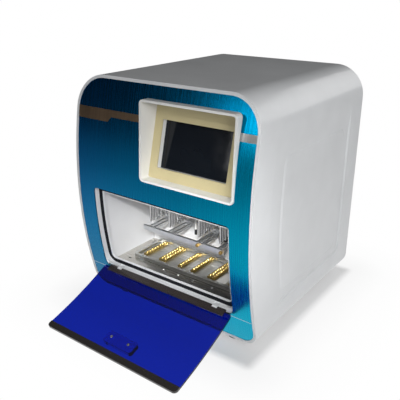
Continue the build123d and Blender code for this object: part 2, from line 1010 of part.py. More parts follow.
# ---------------------------------------------------------------- chamber walls and floor
with BuildPart() as chamber_side_block:
    with BuildSketch(sideways(chamber_half_width)):
        with BuildLine():
            wall_low = shell_wall + overcut
            wall_foot = base_front + 2 * base_opening_margin
            rows = (wall_low, (wall_low + side_wall_top) / 2, side_wall_top)
            wall_front = [(front_back(frame_depth + panel_gap, row), row) for row in rows]
            ThreePointArc(*wall_front)
            Line(wall_front[2], (chamber_back, side_wall_top))
            Line((chamber_back, side_wall_top), (chamber_back, 0))
            Line((chamber_back, 0), (wall_foot, 0))
            Line((wall_foot, 0), (wall_foot, wall_low))
            Line((wall_foot, wall_low), wall_front[0])
        make_face()
    extrude(amount=chamber_wall)
right_wall_part = chamber_side_block.part

with BuildPart() as right_chamber_wall:
    add(right_wall_part)
keep(right_chamber_wall, "right_chamber_wall")

with BuildPart() as left_chamber_wall:
    add(mirror(right_wall_part, about=Plane.YZ))
keep(left_chamber_wall, "left_chamber_wall")

wall_outer_half = chamber_half_width + chamber_wall
with BuildPart() as chamber_back_wall:
    slab(
        (-wall_outer_half, wall_outer_half),
        (chamber_back, chamber_back + chamber_wall),
        (0, back_wall_top),
    )
    slab(
        (hatch_x - hatch_width / 2, hatch_x + hatch_width / 2),
        (chamber_back - overcut, chamber_back + chamber_wall + overcut),
        (hatch_z - hatch_height / 2, hatch_z + hatch_height / 2),
        mode=Mode.SUBTRACT,
    )
keep(chamber_back_wall, "chamber_back_wall")

floor_low = chamber_floor_top - chamber_wall
floor_front = front_back(frame_depth, floor_low) + panel_gap
with BuildPart() as chamber_floor:
    slab(
        (-chamber_half_width, chamber_half_width),
        (floor_front, chamber_back),
        (floor_low, chamber_floor_top),
    )
    with BuildSketch(level(floor_low - overcut)):
        with Locations((drain_x, drain_back)):
            Circle(drain_radius)
    extrude(amount=chamber_wall + 2 * overcut, mode=Mode.SUBTRACT)
keep(chamber_floor, "chamber_floor")

# ---------------------------------------------------------------- deck tray and heater blocks
heater_length = wells_per_column * well_pitch + 2 * heater_margin
heater_singles = []
heater_doubles = []
for plate in (-plate_spacing / 2, plate_spacing / 2):
    heater_singles += [plate - heater_column_offset, plate + heater_column_offset]
    heater_doubles += [plate]


def heater_block(x, columns):
    """Heater block under one or two columns of wells, with a dimple under every well."""
    with BuildPart() as heater:
        half_width = columns * well_pitch / 2
        slab(
            (x - half_width, x + half_width),
            (plate_centre_back - heater_length / 2, plate_centre_back + heater_length / 2),
            (tray_floor_top, heater_top),
        )
        with BuildSketch(level(heater_top)):
            with Locations((x, plate_centre_back)):
                with GridLocations(well_pitch, well_pitch, columns, wells_per_column):
                    Circle(heater_dimple_radius)
        extrude(amount=-heater_dimple_depth, taper=heater_dimple_taper, mode=Mode.SUBTRACT)
    return heater.part


single_blocks = [heater_block(x, 1) for x in heater_singles]
double_blocks = [heater_block(x, 2) for x in heater_doubles]

with BuildPart() as single_heater_blocks:
    for heater_part in single_blocks:
        add(heater_part)
keep(single_heater_blocks, "single_heater_blocks")

with BuildPart() as double_heater_blocks:
    for heater_part in double_blocks:
        add(heater_part)
keep(double_heater_blocks, "double_heater_blocks")

with BuildPart() as deck_tray:
    slab(
        (-tray_half_width, tray_half_width),
        (tray_front, tray_back),
        (chamber_floor_top, tray_rim_top),
    )
    upright_edges = deck_tray.edges().filter_by(Axis.Z)
    fillet(upright_edges, tray_corner)
    slab(
        (-tray_half_width + tray_rim, tray_half_width - tray_rim),
        (tray_front + tray_rim, tray_back - tray_rim),
        (tray_floor_top, tray_rim_top + overcut),
        mode=Mode.SUBTRACT,
    )
keep(deck_tray, "deck_tray")

with BuildPart() as deck_screws:
    with BuildSketch(level(chamber_floor_top)):
        with Locations(*[(x, tray_front - deck_screw_gap) for x in deck_screw_places]):
            Circle(deck_screw_radius)
    extrude(amount=deck_screw_head)
keep(deck_screws, "deck_screws")

with BuildPart() as rim_screws:
    with BuildSketch(level(tray_rim_top)):
        with Locations((rim_screw_centre, tray_front + tray_rim / 2)):
            with GridLocations(rim_screw_spacing, 1, rim_screw_count, 1):
                Circle(rim_screw_radius)
    extrude(amount=rim_screw_head)
keep(rim_screws, "rim_screws")

card_x = heater_singles[-1] - (heater_singles[-1] - heater_doubles[-1]) / 2
with BuildPart() as deck_marker_card:
    slab(
        (card_x - card_width / 2, card_x + card_width / 2),
        (plate_centre_back - heater_length / 2, plate_centre_back - heater_length / 2 + card_length),
        (tray_floor_top, tray_floor_top + card_thickness),
    )
keep(deck_marker_card, "deck_marker_card")

# ---------------------------------------------------------------- heads: rods and sleeve frame
rod_columns = []
for plate in (-plate_spacing / 2, plate_spacing / 2):
    first = plate - heater_column_offset + head_column_offset
    rod_columns += [first, first + column_pair_spacing]
rod_top = rod_tip_height + rod_length
column_back_half = (wells_per_column - 1) * well_pitch / 2
rod_plate_front = plate_centre_back - column_back_half - rod_plate_margin
rod_plate_back = plate_centre_back + column_back_half + rod_plate_margin


with BuildPart() as magnet_rods:
    with BuildSketch(level(rod_tip_height)):
        for x in rod_columns:
            with Locations((x, plate_centre_back)):
                with GridLocations(well_pitch, well_pitch, 1, wells_per_column):
                    Circle(rod_radius)
    extrude(amount=rod_length)
    rod_tips = magnet_rods.edges().filter_by(GeomType.CIRCLE).group_by(Axis.Z)[0]
    fillet(rod_tips, rod_radius * rod_tip_round)
keep(magnet_rods, "magnet_rods")

rod_arm_back = carriage_front - slider_clearance
rod_plate_half = (rod_columns[-1] - rod_columns[0]) / 2 + rod_plate_margin
head_middle = (rod_columns[-1] + rod_columns[0]) / 2
with BuildPart() as rod_carrier:
    slab(
        (head_middle - rod_plate_half, head_middle + rod_plate_half),
        (rod_plate_front, rod_plate_back),
        (rod_top, rod_top + rod_plate_thickness),
    )
    slab(
        (head_middle - rod_arm_half_width, head_middle + rod_arm_half_width),
        (rod_plate_back - rod_web_thickness, rod_plate_back),
        (rod_top + rod_plate_thickness, rod_arm_low + rod_arm_thickness),
    )
    slab(
        (head_middle - rod_arm_half_width, head_middle + rod_arm_half_width),
        (rod_plate_back, rod_arm_back - guide_block_depth),
        (rod_arm_low, rod_arm_low + rod_arm_thickness),
    )
    slab(
        (head_middle - rod_arm_half_width, head_middle + rod_arm_half_width),
        (rod_arm_back - guide_block_depth, rod_arm_back),
        (rod_arm_low + rod_arm_thickness - guide_block_height, rod_arm_low + rod_arm_thickness),
    )
    with BuildSketch(level(rod_top)):
        with Locations((locating_pin_x, locating_pin_back)):
            Circle(locating_pin_radius + fit_gap)
    extrude(amount=rod_plate_thickness, mode=Mode.SUBTRACT)
    for offset in (-rod_guide_offset, rod_guide_offset):
        slab(
            (
                head_middle + offset - z_rail_width / 2 - slider_clearance,
                head_middle + offset + z_rail_width / 2 + slider_clearance,
            ),
            (carriage_front - z_rail_thickness - slider_clearance, carriage_front + overcut),
            (rod_arm_low - guide_block_height, rod_arm_low + guide_block_height),
            mode=Mode.SUBTRACT,
        )
    with BuildSketch(level(rod_arm_low - guide_block_height)):
        with Locations((head_middle, z_screw_back)):
            Circle(screw_radius + running_clearance)
    extrude(amount=2 * guide_block_height, mode=Mode.SUBTRACT)
keep(rod_carrier, "rod_carrier")

with BuildPart() as locating_pin:
    with BuildSketch(level(rod_tip_height + locating_pin_tip)):
        with Locations((locating_pin_x, locating_pin_back)):
            Circle(locating_pin_radius)
    extrude(amount=rod_length - locating_pin_tip + rod_plate_thickness)
keep(locating_pin, "locating_pin")

with BuildPart() as locating_pin_tip_cap:
    with BuildSketch(level(rod_tip_height)):
        with Locations((locating_pin_x, locating_pin_back)):
            Circle(locating_pin_radius + fit_gap)
    extrude(amount=locating_pin_tip)
keep(locating_pin_tip_cap, "locating_pin_tip")

sleeve_inner_front = plate_centre_back - column_back_half - rod_radius - sleeve_end_gap
sleeve_inner_back = plate_centre_back + column_back_half + rod_radius + sleeve_end_gap
sleeve_front = sleeve_inner_front - sleeve_rail_width
sleeve_back = sleeve_inner_back + sleeve_rail_width
sleeve_half = (rod_columns[-1] - rod_columns[0]) / 2 + sleeve_slot / 2 + sleeve_rib + sleeve_overhang
with BuildPart() as sleeve_frame:
    for bar_front in (sleeve_front, sleeve_inner_back):
        slab(
            (head_middle - sleeve_half, head_middle + sleeve_half),
            (bar_front, bar_front + sleeve_rail_width),
            (sleeve_rail_low, sleeve_rail_high),
        )
    for x in rod_columns:
        for side in (-1, 1):
            rib_x = x + side * (sleeve_slot + sleeve_rib) / 2
            slab(
                (rib_x - sleeve_rib / 2, rib_x + sleeve_rib / 2),
                (sleeve_inner_front, sleeve_inner_back),
                (sleeve_rail_low, sleeve_rail_high - sleeve_rib),
            )
keep(sleeve_frame, "sleeve_frame")

with BuildPart() as sleeve_hangers:
    for side in (-1, 1):
        hanger_x = head_middle + side * hanger_offset
        inner_x = head_middle + side * (hanger_offset - hanger_block_inset)
        hanger = (hanger_x - hanger_half_width, hanger_x + hanger_half_width)
        block = (
            min(hanger[0], inner_x - hanger_block_half_width),
            max(hanger[1], inner_x + hanger_block_half_width),
        )
        slab(hanger, (sleeve_back, sleeve_back + hanger_depth), (sleeve_rail_low, hanger_arm_low))
        slab(
            hanger,
            (sleeve_back, rod_arm_back - guide_block_depth),
            (hanger_arm_low, hanger_arm_low + hanger_arm_thickness),
        )
        slab(
            block,
            (rod_arm_back - guide_block_depth, rod_arm_back),
            (hanger_arm_low, hanger_arm_low + guide_block_height),
        )
        slab(
            (
                hanger_x - z_rail_width / 2 - slider_clearance,
                hanger_x + z_rail_width / 2 + slider_clearance,
            ),
            (carriage_front - z_rail_thickness - slider_clearance, carriage_front + overcut),
            (hanger_arm_low - overcut, hanger_arm_low + guide_block_height + overcut),
            mode=Mode.SUBTRACT,
        )
    with BuildSketch(level(hanger_arm_low - overcut)):
        with Locations((head_middle + sleeve_screw_offset, z_screw_back)):
            Circle(screw_radius + running_clearance)
    extrude(amount=2 * guide_block_height, mode=Mode.SUBTRACT)
keep(sleeve_hangers, "sleeve_hangers")

with BuildPart() as comb_thumbscrews:
    for offset in thumbscrew_places:
        with BuildSketch(upright(sleeve_front)):
            with Locations((head_middle + offset, (sleeve_rail_low + sleeve_rail_high) / 2)):
                Circle(thumbscrew_radius)
        extrude(amount=thumbscrew_length)
keep(comb_thumbscrews, "comb_thumbscrews")

# ---------------------------------------------------------------- carriage that carries both heads
slider_back = drive_wall_front - slider_clearance
carriage_back = carriage_front + carriage_thickness
rail_front = drive_wall_front - rail_thickness
z_screw_xs = (head_middle, head_middle + sleeve_screw_offset)
shelf_front = z_screw_back - motor_size / 2
with BuildPart() as head_carriage:
    slab(
        (head_middle - carriage_half_width, head_middle + carriage_half_width),
        (carriage_front, carriage_back),
        (carriage_low, carriage_high),
    )
    slab(
        (head_middle + sleeve_screw_offset - motor_size / 2, head_middle + motor_size / 2),
        (shelf_front, carriage_front),
        (carriage_high - carriage_thickness, carriage_high),
    )
    slab(
        (head_middle + sleeve_screw_offset - shelf_margin, head_middle + shelf_margin),
        (chamber_back + chamber_wall + door_clearance, carriage_front),
        (carriage_low, carriage_low + carriage_thickness),
    )
    for x in slider_places:
        for height in x_rail_heights:
            slab(
                (head_middle + x - slider_length / 2, head_middle + x + slider_length / 2),
                (carriage_back, slider_back),
                (height - slider_height / 2, height + slider_height / 2),
            )
    for height in x_rail_heights:
        slab(
            (-shell_width, shell_width),
            (rail_front - slider_clearance, slider_back + overcut),
            (
                height - rail_width / 2 - slider_clearance,
                height + rail_width / 2 + slider_clearance,
            ),
            mode=Mode.SUBTRACT,
        )
    slab(
        (head_middle - slider_length / 2, head_middle + slider_length / 2),
        (carriage_back, x_screw_back + 2 * screw_radius),
        (x_screw_height - slider_height / 2, x_screw_height + slider_height / 2),
    )
    with BuildSketch(sideways(head_middle - slider_length)):
        with Locations((x_screw_back, x_screw_height)):
            Circle(screw_radius + running_clearance)
    extrude(amount=2 * slider_length, mode=Mode.SUBTRACT)
    for x in z_screw_xs:
        with BuildSketch(level(carriage_low)):
            with Locations((x, z_screw_back)):
                Circle(screw_radius + running_clearance)
        extrude(amount=carriage_high - carriage_low, mode=Mode.SUBTRACT)
keep(head_carriage, "head_carriage")

with BuildPart() as vertical_rails:
    for x in (-hanger_offset, -rod_guide_offset, rod_guide_offset, hanger_offset):
        slab(
            (head_middle + x - z_rail_width / 2, head_middle + x + z_rail_width / 2),
            (carriage_front - z_rail_thickness, carriage_front),
            (z_rail_low, z_rail_high),
        )
keep(vertical_rails, "vertical_rails")

with BuildPart() as lift_motors:
    for x in z_screw_xs:
        slab(
            (x - motor_size / 2, x + motor_size / 2),
            (shelf_front, shelf_front + motor_size),
            (carriage_high, carriage_high + motor_length),
        )
    fillet(lift_motors.edges().filter_by(Axis.Z), motor_corner)
    for x in z_screw_xs:
        with BuildSketch(level(carriage_high)):
            with Locations((x, z_screw_back)):
                Circle(screw_radius + running_clearance)
        extrude(amount=bearing_thickness, mode=Mode.SUBTRACT)
keep(lift_motors, "lift_motors")


def lead_screw(plane, length):
    """Round lead screw along a plane's normal."""
    with BuildPart() as screw:
        with BuildSketch(plane):
            Circle(screw_radius)
        extrude(amount=length)
    return screw


def screw_plane(x):
    """Plane at the foot of an upright lead screw."""
    return Plane(origin=(x, front_y + z_screw_back, foot_height + carriage_low))


upright_screw_length = carriage_high + bearing_thickness - carriage_low
rod_screw = lead_screw(screw_plane(z_screw_xs[0]), upright_screw_length)
keep(rod_screw, "rod_lead_screw")
sleeve_screw = lead_screw(screw_plane(z_screw_xs[1]), upright_screw_length)
keep(sleeve_screw, "sleeve_lead_screw")

# ---------------------------------------------------------------- drive wall, rails and sideways drive
with BuildPart() as drive_wall:
    slab(
        (-drive_wall_half_width, drive_wall_half_width),
        (drive_wall_front, drive_wall_front + drive_wall_thickness),
        (0, drive_wall_top),
    )
keep(drive_wall, "drive_wall")

with BuildPart() as crosswise_rails:
    for height in x_rail_heights:
        slab(
            (-rail_half_length, rail_half_length),
            (rail_front, drive_wall_front),
            (height - rail_width / 2, height + rail_width / 2),
        )
keep(crosswise_rails, "crosswise_rails")

bearing_inner = rail_half_length - bearing_thickness
with BuildPart() as screw_bearings:
    for side in (-1, 1):
        slab(
            (
                side * (bearing_inner + bearing_thickness / 2) - bearing_thickness / 2,
                side * (bearing_inner + bearing_thickness / 2) + bearing_thickness / 2,
            ),
            (x_screw_back - 2 * screw_radius, drive_wall_front),
            (x_screw_height - slider_height / 2, x_screw_height + slider_height / 2),
        )
    with BuildSketch(sideways(-shell_width)):
        with Locations((x_screw_back, x_screw_height)):
            Circle(screw_radius + running_clearance)
    extrude(amount=2 * shell_width, mode=Mode.SUBTRACT)
keep(screw_bearings, "screw_bearings")

with BuildPart() as crosswise_motor:
    slab(
        (rail_half_length, rail_half_length + motor_length),
        (x_screw_back - motor_size / 2, drive_wall_front),
        (x_screw_height - motor_size / 2, x_screw_height + motor_size / 2),
    )
    fillet(crosswise_motor.edges().filter_by(Axis.X), motor_corner)
    with BuildSketch(sideways(rail_half_length)):
        with Locations((x_screw_back, x_screw_height)):
            Circle(screw_radius + running_clearance)
    extrude(amount=bearing_thickness, mode=Mode.SUBTRACT)
keep(crosswise_motor, "crosswise_motor")

crosswise_screw_plane = Plane(
    origin=(-rail_half_length, front_y + x_screw_back, foot_height + x_screw_height),
    x_dir=(0, 1, 0),
    z_dir=(1, 0, 0),
)
crosswise_screw = lead_screw(crosswise_screw_plane, 2 * rail_half_length + bearing_thickness)
keep(crosswise_screw, "crosswise_lead_screw")

# ---------------------------------------------------------------- electronics
with BuildPart() as power_supply:
    slab(
        (-supply_half_width, supply_half_width),
        (supply_front, supply_front + supply_length),
        (0, supply_height),
    )
keep(power_supply, "power_supply")

board_front = drive_wall_front + drive_wall_thickness + board_standoff
with BuildPart() as control_board:
    slab(
        (-board_half_width, board_half_width),
        (board_front, board_front + board_thickness),
        (board_low, board_high),
    )
    for x in (-board_half_width + board_standoff, board_half_width - board_standoff):
        for height in (board_low + board_standoff, board_high - board_standoff):
            with BuildSketch(upright(board_front)):
                with Locations((x, height)):
                    Circle(board_standoff / 2)
            extrude(amount=board_standoff)
    chip_pitch = 2 * board_half_width / (chip_columns + 1)
    for column in range(chip_columns):
        chip_x = -board_half_width + (column + 1) * chip_pitch
        for height in chip_rows:
            slab(
                (chip_x - chip_half_width, chip_x + chip_half_width),
                (board_front + board_thickness, board_front + board_thickness + chip_thickness),
                (height - chip_half_height, height + chip_half_height),
            )
keep(control_board, "control_board")

# ---------------------------------------------------------------- base plate and feet
with BuildPart() as base_plate:
    slab((-base_half_width, base_half_width), (base_front, base_back), (-base_thickness, 0))
keep(base_plate, "base_plate")

foot_places = [
    (side * foot_x, back)
    for side in (-1, 1)
    for back in (base_front + foot_inset, base_back - foot_inset)
]
with BuildPart() as feet:
    with BuildSketch(level(-foot_height)):
        with Locations(*foot_places):
            Circle(foot_radius)
    extrude(amount=foot_height - base_thickness)
    chamfer(feet.edges().filter_by(GeomType.CIRCLE).group_by(Axis.Z)[0], foot_chamfer)
keep(feet, "feet")

# ---------------------------------------------------------------- rear panel and what it carries
rear_front = shell_depth - rear_recess - rear_thickness
rear_face = shell_depth - rear_recess
rear_outline = view_prism(
    view_plane,
    inner_half - fit_gap,
    inner_low + fit_gap,
    inner_high - fit_gap,
    inner_low_corner - fit_gap,
    inner_high_corner - fit_gap,
)
grille_reach = fan_size - 2 * fan_corner
inlet_space = (inlet_width / 2 + fit_gap, inlet_height / 2 + fit_gap)
switch_space = (switch_width / 2 + fit_gap, switch_height / 2 + fit_gap)
rear_screw_places = [
    (x, height)
    for x in (-inner_half + rear_screw_inset, 0, inner_half - rear_screw_inset)
    for height in (rear_screw_low, shell_height / 2, rear_screw_high)
]
with BuildPart() as rear_panel:
    slab((-half_shell, half_shell), (rear_front, rear_face), (0, shell_height))
    add(rear_outline, mode=Mode.INTERSECT)
    with BuildSketch(upright(rear_face + overcut)):
        with Locations((fan_x, fan_z)):
            Circle(fan_bore_radius)
        with Locations((vent_x, vent_z)):
            with GridLocations(1, vent_pitch, 1, vent_rows):
                SlotOverall(vent_width, vent_slot)
        with Locations((inlet_x, inlet_z)):
            Rectangle(2 * inlet_space[0], 2 * inlet_space[1])
        with Locations((switch_x, inlet_z)):
            Rectangle(2 * switch_space[0], 2 * switch_space[1])
        for x, width, height in port_places:
            with Locations((x, port_z)):
                Rectangle(width + 2 * fit_gap, height + 2 * fit_gap)
    extrude(amount=rear_thickness + 2 * overcut, mode=Mode.SUBTRACT)
keep(rear_panel, "rear_panel")

with BuildPart() as rear_screws:
    with BuildSketch(upright(rear_face)):
        with Locations(*rear_screw_places):
            Circle(rear_screw_radius)
    extrude(amount=-rear_screw_head)
keep(rear_screws, "rear_screws")

fan_front = rear_front - fan_thickness
with BuildPart() as fan_frame:
    with BuildSketch(upright(rear_front)):
        with Locations((fan_x, fan_z)):
            RectangleRounded(fan_size, fan_size, fan_corner)
            Circle(fan_bore_radius, mode=Mode.SUBTRACT)
    extrude(amount=fan_thickness)
    with BuildSketch(upright(fan_front + fan_strut)):
        with Locations((fan_x, fan_z)):
            Circle(fan_hub_radius)
            with PolarLocations(fan_bore_radius / 2, fan_strut_count):
                Rectangle(fan_bore_radius + overcut, fan_strut)
            Circle(fan_pin_radius + running_clearance, mode=Mode.SUBTRACT)
    extrude(amount=fan_strut)
keep(fan_frame, "fan_frame")

blade_root = fan_front + fan_strut + slider_clearance
blade_depth = fan_thickness - fan_strut - 2 * slider_clearance
blade_turn = math.radians(fan_blade_angle)
fan_centre_y = front_y + blade_root + blade_depth / 2
with BuildPart() as fan_rotor:
    with BuildSketch(upright(blade_root)):
        with Locations((fan_x, fan_z)):
            Circle(fan_hub_radius)
    extrude(amount=-blade_depth)
    with BuildSketch(upright(blade_root)):
        with Locations((fan_x, fan_z)):
            Circle(fan_pin_radius)
    extrude(amount=fan_strut)
    for blade in range(fan_blades):
        angle = 2 * math.pi * blade / fan_blades
        outwards = (math.cos(angle), 0, math.sin(angle))
        chord = (
            -math.sin(angle) * math.sin(blade_turn),
            math.cos(blade_turn),
            math.cos(angle) * math.sin(blade_turn),
        )
        root_radius = fan_hub_radius - fan_blade_sink
        root = (
            fan_x + outwards[0] * root_radius,
            fan_centre_y,
            foot_height + fan_z + outwards[2] * root_radius,
        )
        with BuildSketch(Plane(origin=root, x_dir=chord, z_dir=outwards)):
            Rectangle(blade_depth, fan_blade_thickness)
        extrude(amount=fan_bore_radius - fan_tip_clearance - root_radius)
keep(fan_rotor, "fan_rotor")

with BuildPart() as fan_grille:
    with BuildSketch(upright(rear_face)):
        with Locations((fan_x, fan_z)):
            for ring in range(1, grille_rings + 1):
                ring_radius = fan_bore_radius * ring / grille_rings + grille_wire
                Circle(ring_radius)
                Circle(ring_radius - grille_wire, mode=Mode.SUBTRACT)
            Circle(grille_hub_radius)
            for tilt in (45, 135):
                with Locations((0, 0)):
                    Rectangle(grille_reach * math.sqrt(2), grille_wire, rotation=tilt)
    extrude(amount=-grille_wire)
keep(fan_grille, "fan_grille")

with BuildPart() as power_inlet:
    slab(
        (inlet_x - inlet_width / 2, inlet_x + inlet_width / 2),
        (rear_face - inlet_depth, rear_face + socket_wall),
        (inlet_z - inlet_height / 2, inlet_z + inlet_height / 2),
    )
    slab(
        (inlet_x - inlet_width / 2 - inlet_flange, inlet_x + inlet_width / 2 + inlet_flange),
        (rear_face, rear_face + socket_wall),
        (inlet_z - inlet_height / 2 - socket_wall, inlet_z + inlet_height / 2 + socket_wall),
    )
    slab(
        (inlet_x - inlet_width / 2 + socket_wall, inlet_x + inlet_width / 2 - socket_wall),
        (rear_face - inlet_depth + socket_wall, rear_face + socket_wall + overcut),
        (inlet_z - inlet_height / 2 + socket_wall, inlet_z + inlet_height / 2 - socket_wall),
        mode=Mode.SUBTRACT,
    )
    for x, height in inlet_pin_places:
        slab(
            (inlet_x + x - inlet_pin_half_width, inlet_x + x + inlet_pin_half_width),
            (rear_face - inlet_depth + socket_wall, rear_face - socket_wall),
            (inlet_z + height - inlet_pin_half_height, inlet_z + height + inlet_pin_half_height),
        )
keep(power_inlet, "power_inlet")

rocker_half_width = switch_width / 2 - socket_wall - slider_clearance
rocker_half_height = switch_height / 2 - socket_wall - slider_clearance
rocker_axis_back = rear_face - socket_wall
with BuildPart() as power_switch_housing:
    slab(
        (switch_x - switch_width / 2, switch_x + switch_width / 2),
        (rear_face - inlet_depth, rear_face + socket_wall),
        (inlet_z - switch_height / 2, inlet_z + switch_height / 2),
    )
    slab(
        (switch_x - switch_width / 2 + socket_wall, switch_x + switch_width / 2 - socket_wall),
        (rear_face - inlet_depth + socket_wall, rear_face + socket_wall + overcut),
        (inlet_z - switch_height / 2 + socket_wall, inlet_z + switch_height / 2 - socket_wall),
        mode=Mode.SUBTRACT,
    )
    with BuildSketch(sideways(switch_x - switch_width)):
        with Locations((rocker_axis_back, inlet_z)):
            Circle(rocker_pin_radius + running_clearance)
    extrude(amount=2 * switch_width, mode=Mode.SUBTRACT)
keep(power_switch_housing, "power_switch_housing")

rocker_plane = Plane(
    origin=(switch_x - rocker_half_width, front_y + rocker_axis_back, foot_height + inlet_z),
    x_dir=(0, math.cos(math.radians(rocker_tilt)), math.sin(math.radians(rocker_tilt))),
    z_dir=(1, 0, 0),
)
rocker_tip = rocker_half_height - rocker_tip_gap
rocker_low = -rocker_pin_radius
rocker_shoulder = rocker_rise - rocker_bevel
with BuildPart() as power_rocker:
    with BuildSketch(rocker_plane):
        Polygon(
            (rocker_low, -rocker_tip + rocker_bevel),
            (rocker_shoulder, -rocker_tip),
            (rocker_rise, -rocker_tip + rocker_bevel),
            (rocker_valley, 0),
            (rocker_rise, rocker_tip - rocker_bevel),
            (rocker_shoulder, rocker_tip),
            (rocker_low, rocker_tip - rocker_bevel),
            align=None,
        )
    extrude(amount=2 * rocker_half_width)
    with BuildSketch(sideways(switch_x - switch_width / 2)):
        with Locations((rocker_axis_back, inlet_z)):
            Circle(rocker_pin_radius)
    extrude(amount=switch_width)
keep(power_rocker, "power_rocker")

with BuildPart() as data_ports:
    for x, width, height in port_places:
        slab(
            (x - width / 2, x + width / 2),
            (rear_face - inlet_depth, rear_face + trim_thickness),
            (port_z - height / 2, port_z + height / 2),
        )
        slab(
            (x - width / 2 + port_wall, x + width / 2 - port_wall),
            (rear_face - inlet_depth / 2, rear_face + overcut),
            (port_z - height / 2 + port_wall, port_z + height / 2 - port_wall),
            mode=Mode.SUBTRACT,
        )
keep(data_ports, "data_ports")
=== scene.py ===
import json
import math

import bpy
from mathutils import Matrix, Vector


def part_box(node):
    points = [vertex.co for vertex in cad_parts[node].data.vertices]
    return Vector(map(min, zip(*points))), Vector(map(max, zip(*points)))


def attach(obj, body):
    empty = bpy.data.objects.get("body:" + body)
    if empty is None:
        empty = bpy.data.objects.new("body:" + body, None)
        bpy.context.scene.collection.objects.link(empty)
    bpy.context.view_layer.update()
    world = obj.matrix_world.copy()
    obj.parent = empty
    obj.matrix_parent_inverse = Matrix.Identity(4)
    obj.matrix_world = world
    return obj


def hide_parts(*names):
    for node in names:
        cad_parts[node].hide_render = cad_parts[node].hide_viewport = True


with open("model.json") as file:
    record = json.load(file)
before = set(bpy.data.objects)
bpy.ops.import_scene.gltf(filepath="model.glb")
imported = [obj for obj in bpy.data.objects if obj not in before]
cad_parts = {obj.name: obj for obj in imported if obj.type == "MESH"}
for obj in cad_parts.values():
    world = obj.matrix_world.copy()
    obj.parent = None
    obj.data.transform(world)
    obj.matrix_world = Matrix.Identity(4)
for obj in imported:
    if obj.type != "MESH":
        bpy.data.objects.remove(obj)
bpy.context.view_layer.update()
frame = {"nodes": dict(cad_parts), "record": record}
nodes = frame["nodes"]

# Nucleic acid extractor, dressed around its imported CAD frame. Lengths are metres.


# ---------------------------------------------------------------- colours and materials
def srgb(red, green, blue):
    """Linear colour of an sRGB colour given as 0 to 255."""
    linear = []
    for value in (red / 255, green / 255, blue / 255):
        linear.append(value / 12.92 if value <= 0.04045 else ((value + 0.055) / 1.055) ** 2.4)
    return tuple(linear)


def make_material(name, colour, roughness, **sockets):
    """Principled material whose plain values sit on the shader's own sockets."""
    material = bpy.data.materials.new(name)
    material.use_nodes = True
    shader = material.node_tree.nodes["Principled BSDF"]
    shader.inputs["Base Color"].default_value = (*colour, 1)
    shader.inputs["Roughness"].default_value = roughness
    for socket, value in sockets.items():
        shader.inputs[socket.replace("_", " ")].default_value = value
    return material


def noise(material, scale, stretch=(1, 1, 1), detail=3.0):
    """Noise over the piece's own coordinates, squeezed or stretched along each axis."""
    tree = material.node_tree
    place = tree.nodes.new("ShaderNodeTexCoord")
    mapping = tree.nodes.new("ShaderNodeMapping")
    texture = tree.nodes.new("ShaderNodeTexNoise")
    mapping.inputs["Scale"].default_value = stretch
    texture.inputs["Scale"].default_value = scale
    texture.inputs["Detail"].default_value = detail
    tree.links.new(place.outputs["Object"], mapping.inputs["Vector"])
    tree.links.new(mapping.outputs["Vector"], texture.inputs["Vector"])
    return texture.outputs["Fac"]


def ramp(material, factor, stops):
    """Colour ramp over a factor; stops are pairs of a place and a linear colour."""
    node = material.node_tree.nodes.new("ShaderNodeValToRGB")
    elements = node.color_ramp.elements
    for element, (place, colour) in zip(elements, (stops[0], stops[-1])):
        element.position = place
        element.color = (*colour, 1)
    for place, colour in stops[1:-1]:
        element = elements.new(place)
        element.color = (*colour, 1)
    material.node_tree.links.new(factor, node.inputs["Fac"])
    return node.outputs["Color"]


def feed(material, output, socket):
    """Links an output to a socket of the material's shader."""
    shader = material.node_tree.nodes["Principled BSDF"]
    material.node_tree.links.new(output, shader.inputs[socket])


def mottle(material, factor, colour, spread):
    """Lets the base colour wander a little each way about its middle."""
    dark_end, light_end = 0.3, 0.7
    darker = tuple(value * (1 - spread) for value in colour)
    lighter = tuple(min(value * (1 + spread), 1) for value in colour)
    stops = ((dark_end, darker), (light_end, lighter))
    feed(material, ramp(material, factor, stops), "Base Color")


def vary_roughness(material, factor, low, high):
    """Spreads the roughness between two values, with a margin because noise seldom meets its ends."""
    spread = material.node_tree.nodes.new("ShaderNodeMapRange")
    noise_margin = 0.75
    margin = noise_margin * (high - low)
    spread.inputs["To Min"].default_value = max(low - margin, 0.0)
    spread.inputs["To Max"].default_value = high + margin
    material.node_tree.links.new(factor, spread.inputs["Value"])
    feed(material, spread.outputs["Result"], "Roughness")


def bump(material, factor, depth):
    """Raises the surface by a depth in metres along a factor."""
    node = material.node_tree.nodes.new("ShaderNodeBump")
    node.inputs["Distance"].default_value = depth
    node.inputs["Strength"].default_value = 1.0
    material.node_tree.links.new(factor, node.inputs["Height"])
    feed(material, node.outputs["Normal"], "Normal")


def moulded(name, colour, roughness, grain=0.000004, grain_scale=350.0, spread=0.03, **sockets):
    """Moulded plastic or paint: a fine skin and a faint wander of colour and gloss."""
    colour_scale = 14.0
    gloss_scale = 9.0
    material = make_material(name, colour, roughness, **sockets)
    mottle(material, noise(material, colour_scale), colour, spread)
    gloss = noise(material, gloss_scale, detail=1.0)
    vary_roughness(material, gloss, roughness * 0.9, roughness * 1.1)
    bump(material, noise(material, grain_scale), grain)
    return material


def brushed(name, colour, roughness, stretch, depth=0.00003, spread=0.08, **sockets):
    """Brushed metal: streaks along the axes whose stretch is small."""
    colour_scale = 1.0
    gloss_scale = 0.7
    groove_scale = 1.6
    material = make_material(name, colour, roughness, Metallic=1.0, **sockets)
    mottle(material, noise(material, colour_scale, stretch, 2.0), colour, spread)
    gloss = noise(material, gloss_scale, stretch, 4.0)
    vary_roughness(material, gloss, roughness * 0.75, roughness * 1.25)
    bump(material, noise(material, groove_scale, stretch, 3.0), depth)
    return material


